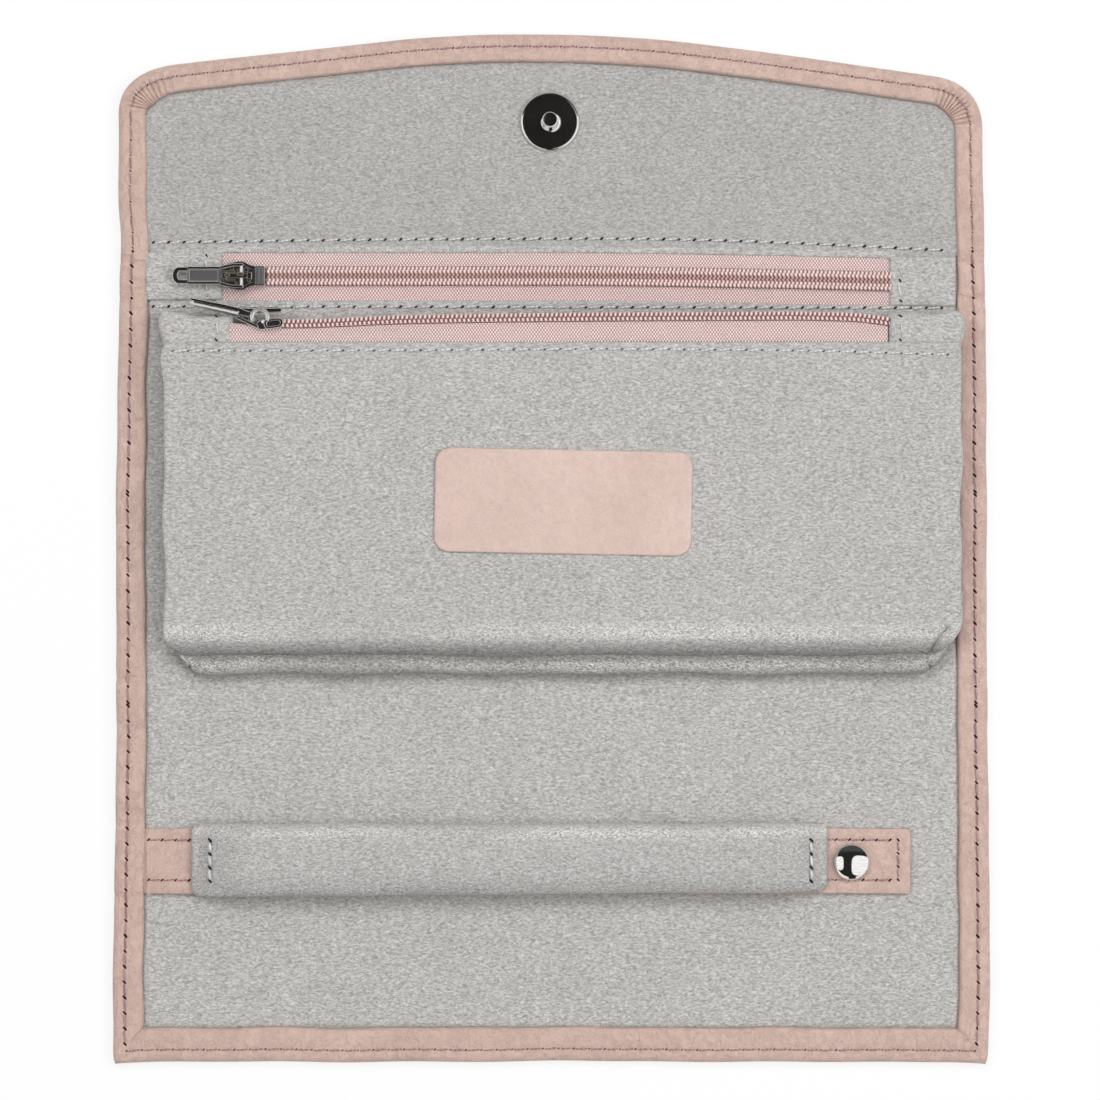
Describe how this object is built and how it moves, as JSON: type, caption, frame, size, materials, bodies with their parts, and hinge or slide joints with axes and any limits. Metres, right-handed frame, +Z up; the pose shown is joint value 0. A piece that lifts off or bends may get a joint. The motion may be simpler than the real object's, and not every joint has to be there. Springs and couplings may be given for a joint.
{
  "type": "jewelry roll",
  "caption": "Soft folding jewelry roll laid open: arched flap, two spines, zipped pockets, gusseted pouch, ring bar with a dome snap and magnetic closure.",
  "frame": {"origin": "middle of the laid-open roll's length and width, on the surface it lies on", "axes": "+X across the width, +Y along the length towards the arched flap, +Z up, out of the suede lining"},
  "size_m": [0.2062, 0.2416, 0.0129],
  "materials": {
    "leather": "pale pink leather, fine grain, satin",
    "label_leather": "pale pink leather, smooth, satin, bare",
    "suede": "grey suede cloth, short brushed nap",
    "bag_cloth": "thin grey lining cloth",
    "board": "stiff grey sheet",
    "zip_tape": "woven pink zip tape",
    "zip_coil": "pink nylon coil",
    "dark_nickel": "dark polished nickel",
    "bright_nickel": "polished nickel",
    "magnet_steel": "plain steel"
  },
  "bodies": {
    "back": {"cover_back": "leather", "board_back": "board", "lining_back": "suede", "zip1_pocket_bag": "bag_cloth", "pouch_gusset": "suede", "pouch_hem_band": "suede"},
    "top_spine": {"cover_top_spine": "leather", "lining_top_spine": "suede", "zip1_patch_left": "suede", "zip1_patch_right": "suede", "zip1_tape_lower": "zip_tape", "zip1_tape_upper": "zip_tape", "zip1_chain": "zip_coil"},
    "flap": {"cover_flap": "leather", "board_flap": "board", "lining_flap": "suede", "magnet_male": "dark_nickel", "magnet_male_washer": "magnet_steel"},
    "bottom_spine": {"cover_bottom_spine": "leather", "lining_bottom_spine": "suede"},
    "front": {"cover_front": "leather", "board_front": "board", "lining_front": "suede", "magnet_female_plate": "dark_nickel", "magnet_ring": "magnet_steel", "strap_root_tab": "leather", "snap_stud": "bright_nickel", "snap_stud_washer": "magnet_steel"},
    "ring_bar": {"ring_strap_lower": "leather", "ring_strap_upper": "leather", "ring_pad": "suede", "snap_cap": "bright_nickel", "snap_socket": "bright_nickel"},
    "pouch_front": {"pouch_front_panel": "suede", "label_patch": "label_leather"},
    "pouch_rim": {"zip2_patch_left": "suede", "zip2_patch_right": "suede", "zip2_chain": "zip_coil", "zip2_tape_front": "zip_tape", "zip2_tape_back": "zip_tape"},
    "first_slider": {"zip1_slider": "dark_nickel"},
    "first_pull": {"zip1_pull": "dark_nickel"},
    "second_slider": {"zip2_slider": "dark_nickel"},
    "second_pull": {"zip2_pull": "dark_nickel"}
  },
  "joints": [
    {"name": "top_fold", "type": "hinge", "parent": "back", "child": "top_spine", "pos_m": [0, 0.058, 0.0035], "axis": [1, 0, 0], "range_deg": [0, 90]},
    {"name": "flap_fold", "type": "hinge", "parent": "top_spine", "child": "flap", "pos_m": [0, 0.0738, 0.0035], "axis": [1, 0, 0], "range_deg": [0, 90]},
    {"name": "bottom_fold", "type": "hinge", "parent": "back", "child": "bottom_spine", "pos_m": [0, -0.0305, 0.0035], "axis": [-1, 0, 0], "range_deg": [0, 90]},
    {"name": "front_fold", "type": "hinge", "parent": "bottom_spine", "child": "front", "pos_m": [0, -0.0425, 0.0035], "axis": [-1, 0, 0], "range_deg": [0, 90]},
    {"name": "ring_bar_lift", "type": "hinge", "parent": "front", "child": "ring_bar", "pos_m": [-0.0935, -0.07355, 0.0039], "axis": [0, 1, 0], "range_deg": [-110, 0]},
    {"name": "pouch_press", "type": "slide", "parent": "back", "child": "pouch_front", "axis": [0, 0, -1], "range_m": [0, 0.006], "deforming": ["pouch_gusset"]},
    {"name": "rim_tuck", "type": "slide", "parent": "back", "child": "pouch_rim", "axis": [0, -1, 0], "range_m": [0, 0.0032]},
    {"name": "zip1_slide", "type": "slide", "parent": "top_spine", "child": "first_slider", "axis": [-1, 0, 0], "range_m": [-0.145, 0], "deforming": ["zip1_chain"]},
    {"name": "zip1_pull_flip", "type": "hinge", "parent": "first_slider", "child": "first_pull", "pos_m": [-0.07175, 0.064, 0.00528], "axis": [0, -1, 0], "range_deg": [-165, 0]},
    {"name": "zip2_slide", "type": "slide", "parent": "pouch_rim", "child": "second_slider", "axis": [-1, 0, 0], "range_m": [-0.14, 0], "deforming": ["zip2_chain", "zip2_tape_front"]},
    {"name": "zip2_pull_flip", "type": "hinge", "parent": "second_slider", "child": "second_pull", "pos_m": [-0.068, 0.05543, 0.0086], "axis": [0, 0, 1], "range_deg": [-155, 0]}
  ],
  "couplings": [
    {"joint": "flap_fold", "follows": "top_fold", "ratio": 1},
    {"joint": "bottom_fold", "follows": "front_fold", "ratio": 1},
    {"joint": "pouch_press", "follows": "front_fold", "m_per_rad": 0.00381},
    {"joint": "rim_tuck", "follows": "top_fold", "m_per_rad": 0.00203}
  ]
}
